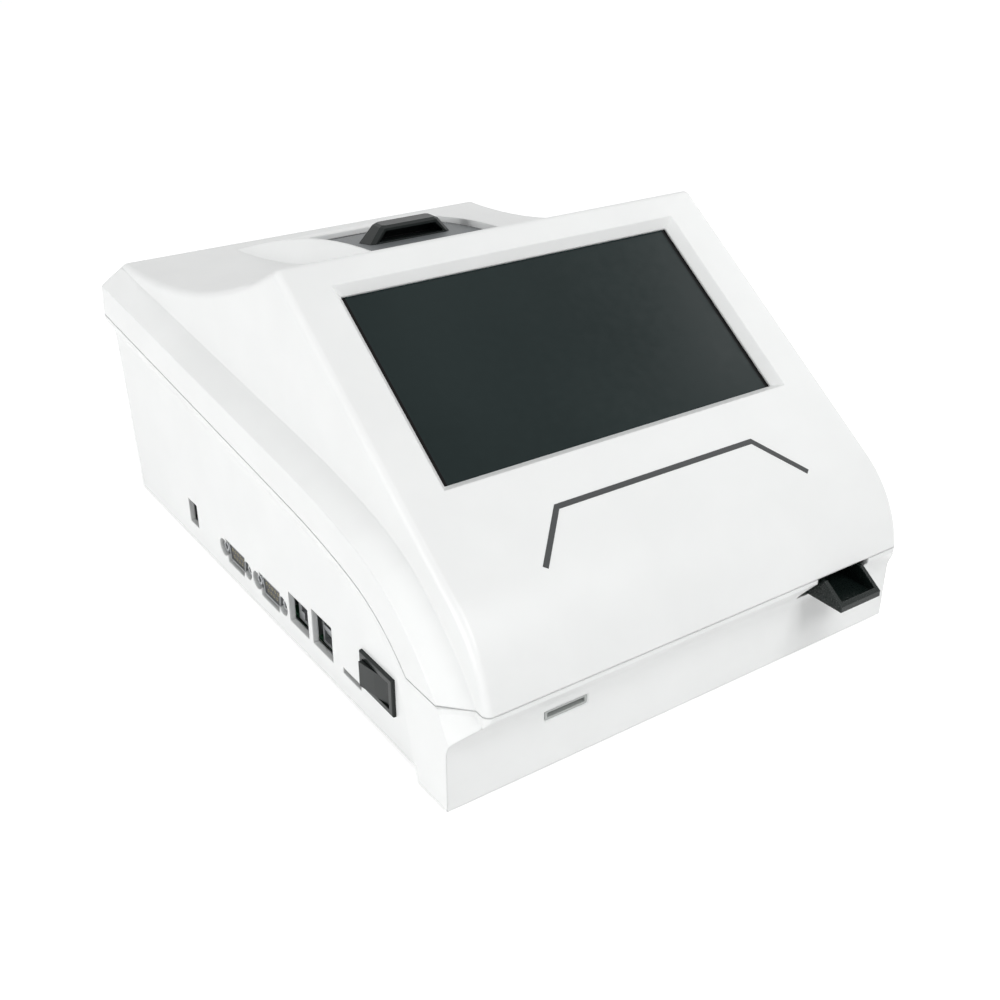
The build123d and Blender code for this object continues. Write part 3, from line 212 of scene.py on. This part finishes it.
def display_material():
    """Dark glass with a black border round the slightly lighter picture area; the border is partly printed
    black and partly painted shade from the recess edge.
    """
    material, tree, shader = new_material("display_glass")
    coordinates = tree.nodes.new("ShaderNodeTexCoord")
    shift = tree.nodes.new("ShaderNodeVectorMath")
    shift.operation = "SUBTRACT"
    shift.inputs[1].default_value = on_panel(0, DISPLAY_MIDDLE / MM)
    tree.links.new(coordinates.outputs["Object"], shift.inputs[0])
    inside = None
    for direction, half in ((Vector((1, 0, 0)), ACTIVE_HALF[0]), (PANEL_UP, ACTIVE_HALF[1])):
        along = tree.nodes.new("ShaderNodeVectorMath")
        along.operation = "DOT_PRODUCT"
        along.inputs[1].default_value = direction
        tree.links.new(shift.outputs["Vector"], along.inputs[0])
        size = tree.nodes.new("ShaderNodeMath")
        size.operation = "ABSOLUTE"
        tree.links.new(along.outputs["Value"], size.inputs[0])
        within = tree.nodes.new("ShaderNodeMath")
        within.operation = "LESS_THAN"
        within.inputs[1].default_value = half
        tree.links.new(size.outputs["Value"], within.inputs[0])
        if inside is None:
            inside = within.outputs["Value"]
        else:
            both = tree.nodes.new("ShaderNodeMath")
            both.operation = "MULTIPLY"
            tree.links.new(inside, both.inputs[0])
            tree.links.new(within.outputs["Value"], both.inputs[1])
            inside = both.outputs["Value"]
    picture = two_tone(tree, noise(tree, PICTURE_MOTTLE, 1.0), PICTURE_DARK, PICTURE_LIGHT)
    mix = tree.nodes.new("ShaderNodeMix")
    mix.data_type = "RGBA"
    # Outside the picture area: black border that is print and also painted shade from the recess edge.
    mix.inputs["A"].default_value = PRINTED_BORDER_AND_SHADE
    tree.links.new(inside, mix.inputs["Factor"])
    tree.links.new(picture, mix.inputs["B"])
    tree.links.new(mix.outputs["Result"], shader.inputs["Base Color"])
    gloss = spread(tree, noise(tree, GLASS_GRAIN), GLASS_SMOOTHEST, GLASS_ROUGHEST)
    tree.links.new(gloss, shader.inputs["Roughness"])
    shader.inputs["Specular IOR Level"].default_value = GLASS_SHINE
    return material


white_plastic = surface("white_plastic", WHITE, 0.012, 0.36, 1400.0, 0.025, edge=0.0009)
grey_plastic = surface("grey_plastic", CARD_SLOT_GREY, 0.03, 0.4, 1400.0, 0.02, edge=0.0003)
black_plastic = surface("black_plastic", BLACK, 0.12, 0.32, 1600.0, 0.03, edge=0.0003, shine=0.3)
tray_plastic = surface("tray_plastic", TRAY_BLACK, 0.12, 0.28, 1500.0, 0.02, edge=0.0003, shine=0.3)
door_plastic = surface("door_plastic", DOOR_GREY, 0.05, 0.5, 1500.0, 0.06, edge=0.0003)
stripe_ink = surface("stripe_ink", INK, 0.06, 0.45, 1200.0, 0.01)
foot_rubber = surface("foot_rubber", FOOT_BLACK, 0.15, 0.75, 700.0, 0.1, edge=0.0003)
platen_rubber = surface("platen_rubber", PLATEN_BLACK, 0.1, 0.7, 900.0, 0.06)
gear_plastic = surface("gear_plastic", GEAR_CREAM, 0.05, 0.45, 1100.0, 0.03, edge=0.0001)
paper = surface("paper", PAPER_WHITE, 0.03, 0.8, 2500.0, 0.08, stretch=(1, 6, 6))
steel = surface("steel", STEEL_GREY, 0.06, 0.28, 1200.0, 0.03, 1.0, 0.0002, stretch=(1, 1, 8))
socket_metal = surface("socket_metal", SOCKET_GREY, 0.05, 0.42, 1300.0, 0.02, 0.7, 0.0002)
sheet_metal = surface("sheet_metal", SHEET_GREY, 0.05, 0.38, 600.0, 0.03, 1.0, 0.0002, stretch=(6, 1, 1))
lens_glass = surface("lens_glass", LENS_BLUE, 0.1, 0.08, 400.0, 0.0)
circuit = surface("circuit", BOARD_GREEN, 0.35, 0.4, 160.0, 0.08)
chip_plastic = surface("chip_plastic", CHIP_BLACK, 0.1, 0.5, 1400.0, 0.05)
socket_black = surface("socket_black", SOCKET_BLACK, 0.1, 0.45, 1400.0, 0.03)
contact_gold = surface("contact_gold", CONTACT_GOLD, 0.08, 0.3, 900.0, 0.02, 1.0)
display_glass = display_material()

node_materials = {
    white_plastic: ("bottom_housing", "top_cover"),
    tray_plastic: ("tray", "tray_rack"),
    black_plastic: (
        "door_handle", "tear_bar", "print_head", "switch_frame", "power_rocker", "optical_head",
        "tray_sensor", "speaker", "photodiode_board",
    ),
    grey_plastic: ("id_slot_frame",),
    door_plastic: ("printer_door", "printer_frame"),
    foot_rubber: ("rubber_feet",),
    platen_rubber: ("platen_roller",),
    gear_plastic: ("drive_pinion", "platen_gear", "printer_motor_gear"),
    paper: ("paper_roll",),
    steel: (
        "guide_rods", "hinge_pin", "housing_screws", "display_screws", "chassis_screws", "board_screws",
        "printer_screws", "tray_motor", "printer_motor",
    ),
    socket_metal: ("usb_port", "lan_port", "serial_port_1", "serial_port_2", "card_slot"),
    sheet_metal: ("drive_chassis", "display_bracket", "optics_bridge", "excitation_led", "lcd_module"),
    lens_glass: ("objective_lens", "emission_filter"),
    circuit: ("main_board", "id_reader_board"),
    chip_plastic: ("board_chips",),
    socket_black: ("dc_inlet", "id_card_socket", "serial_inserts"),
    display_glass: ("touch_glass",),
}
for material, names in node_materials.items():
    for name in names:
        mesh = nodes[name].data
        mesh.materials.clear()
        mesh.materials.append(material)
dressed = {name for names in node_materials.values() for name in names}
for name in nodes:
    if name not in dressed:
        print("no material for", name)


# Pieces
def piece(name, mesh_data, material, body="housing"):
    """Finished mesh piece that rides on a body."""
    mesh = bpy.data.meshes.new(name)
    mesh_data.to_mesh(mesh)
    mesh_data.free()
    obj = bpy.data.objects.new(name, mesh)
    bpy.context.scene.collection.objects.link(obj)
    mesh.materials.append(material)
    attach(obj, body)
    return obj


def ribbon(path, width, thickness):
    """Flat strip with mitred corners along a path on the panel, its lower face just under the surface."""
    mesh = bmesh.new()
    rings = []
    for index, point in enumerate(path):
        here = Vector(point)
        before = (here - Vector(path[index - 1])).normalized() if index else None
        after = (Vector(path[index + 1]) - here).normalized() if index < len(path) - 1 else None
        along = ((before or after) + (after or before)).normalized()
        across = Vector((-along.y, along.x))
        leg = before or after
        stretch = width / 2 / max(SHARPEST_MITRE, across.dot(Vector((-leg.y, leg.x))))
        ring = []
        for hand, out in ((-1, -STRIPE_SINK), (-1, thickness), (1, thickness), (1, -STRIPE_SINK)):
            spot = here + across * stretch * hand
            ring.append(mesh.verts.new(on_panel(spot.x, spot.y, out)))
        rings.append(ring)
    for first, second in zip(rings, rings[1:]):
        for corner in range(4):
            following = (corner + 1) % 4
            mesh.faces.new((first[corner], first[following], second[following], second[corner]))
    mesh.faces.new(rings[0])
    mesh.faces.new(list(reversed(rings[-1])))
    bmesh.ops.recalc_face_normals(mesh, faces=mesh.faces)
    return mesh


piece("panel_stripe", ribbon(STRIPE_PATH, STRIPE_WIDTH, STRIPE_HEIGHT), stripe_ink)


def tubes(spots, radius, inner, length, sides=20):
    """Short open tubes that stand on the left side, at (x, y, z) spots in millimetres, with their floors."""
    mesh = bmesh.new()
    for x, y, z in spots:
        rings = []
        for reach, size in ((0, inner), (length, inner), (length, radius), (0, radius)):
            ring = []
            for step in range(sides):
                angle = 2 * pi * step / sides
                spot = place(x - length + reach, y + size * cos(angle), z + size * sin(angle))
                ring.append(mesh.verts.new(spot))
            rings.append(ring)
        for first, second in ((0, 1), (2, 3), (3, 0)):
            near = rings[first]
            far = rings[second]
            for step in range(sides):
                following = (step + 1) % sides
                mesh.faces.new((near[step], near[following], far[following], far[step]))
        mesh.faces.new(rings[1])
    bmesh.ops.recalc_face_normals(mesh, faces=mesh.faces)
    return mesh


for number, depth in enumerate(SERIAL_DEPTHS, 1):
    holes = []
    for count, rise in CONTACT_ROWS:
        for step in range(count):
            across = depth + (step - (count - 1) / 2) * CONTACT_PITCH
            holes.append((CONTACT_FACE, across, SERIAL_HEIGHT + rise))
    contacts = tubes(holes, CONTACT_RADIUS, CONTACT_BORE, CONTACT_LENGTH)
    piece("serial_contacts_" + str(number), contacts, contact_gold)


# Stage
def background_rays(tree):
    """One for the rays that see the white background, zero for those that light the object."""
    path = tree.nodes.new("ShaderNodeLightPath")
    seen = path.outputs["Is Camera Ray"]
    for kind in ("Is Glossy Ray", "Is Transmission Ray"):
        either = tree.nodes.new("ShaderNodeMath")
        either.operation = "MAXIMUM"
        tree.links.new(seen, either.inputs[0])
        tree.links.new(path.outputs[kind], either.inputs[1])
        seen = either.outputs["Value"]
    return seen


def floor_surface():
    """Matte floor that keeps the object's shadow, with a glow that only the background's rays see."""
    material = bpy.data.materials.new("floor")
    material.use_nodes = True
    tree = material.node_tree
    tree.nodes.clear()
    output = tree.nodes.new("ShaderNodeOutputMaterial")
    matte = tree.nodes.new("ShaderNodeBsdfDiffuse")
    matte.inputs["Color"].default_value = FLOOR_WHITE
    glow = tree.nodes.new("ShaderNodeEmission")
    glow.inputs["Strength"].default_value = FLOOR_GLOW
    both = tree.nodes.new("ShaderNodeAddShader")
    chosen = tree.nodes.new("ShaderNodeMixShader")
    tree.links.new(background_rays(tree), chosen.inputs["Fac"])
    tree.links.new(matte.outputs["BSDF"], both.inputs[0])
    tree.links.new(glow.outputs["Emission"], both.inputs[1])
    tree.links.new(matte.outputs["BSDF"], chosen.inputs[1])
    tree.links.new(both.outputs["Shader"], chosen.inputs[2])
    tree.links.new(chosen.outputs["Shader"], output.inputs["Surface"])
    return material


def studio_world():
    """Even room light, and a white backdrop that only the background's rays see."""
    world = bpy.data.worlds.new("studio")
    world.use_nodes = True
    tree = world.node_tree
    tree.nodes.clear()
    output = tree.nodes.new("ShaderNodeOutputWorld")
    room = tree.nodes.new("ShaderNodeBackground")
    room.inputs["Color"].default_value = PLAIN_WHITE
    room.inputs["Strength"].default_value = ROOM_LIGHT
    backdrop = tree.nodes.new("ShaderNodeBackground")
    backdrop.inputs["Color"].default_value = PLAIN_WHITE
    backdrop.inputs["Strength"].default_value = BACKDROP_LIGHT
    chosen = tree.nodes.new("ShaderNodeMixShader")
    tree.links.new(background_rays(tree), chosen.inputs["Fac"])
    tree.links.new(room.outputs["Background"], chosen.inputs[1])
    tree.links.new(backdrop.outputs["Background"], chosen.inputs[2])
    tree.links.new(chosen.outputs["Shader"], output.inputs["Surface"])
    return world


def softbox(name, position, target, size, power):
    """Large square lamp that faces a point."""
    lamp = bpy.data.lights.new(name, "AREA")
    lamp.shape = "SQUARE"
    lamp.size = size
    lamp.energy = power
    obj = bpy.data.objects.new(name, lamp)
    obj.location = position
    obj.rotation_euler = (Vector(target) - Vector(position)).to_track_quat("-Z", "Y").to_euler()
    bpy.context.scene.collection.objects.link(obj)


floor_mesh = bmesh.new()
bmesh.ops.create_grid(floor_mesh, x_segments=1, y_segments=1, size=FLOOR_HALF)
floor_data = bpy.data.meshes.new("floor")
floor_mesh.to_mesh(floor_data)
floor_mesh.free()
floor_data.materials.append(floor_surface())
floor = bpy.data.objects.new("floor", floor_data)
bpy.context.scene.collection.objects.link(floor)

bpy.context.scene.world = studio_world()
softbox("key", (0.15, -1.5, 1.75), (0, 0, 0.06), 1.2, 27.0)
softbox("side", (-1.9, 0.0, 0.2), (0, 0, 0.06), 0.8, 21.0)
softbox("reflected", (1.6, 0.0, 1.3), (0, 0, 0.1), 0.8, 5.0)

camera_data = bpy.data.cameras.new("camera")
camera_data.lens = LENS
camera_data.sensor_width = SENSOR
camera_data.clip_start = NEAREST
camera = bpy.data.objects.new("camera", camera_data)
camera.location = CAMERA_SPOT
camera.rotation_euler = (radians(90 - CAMERA_DROP), 0, radians(CAMERA_TURN))
bpy.context.scene.collection.objects.link(camera)
bpy.context.scene.camera = camera
bpy.context.scene.view_settings.view_transform = "Standard"
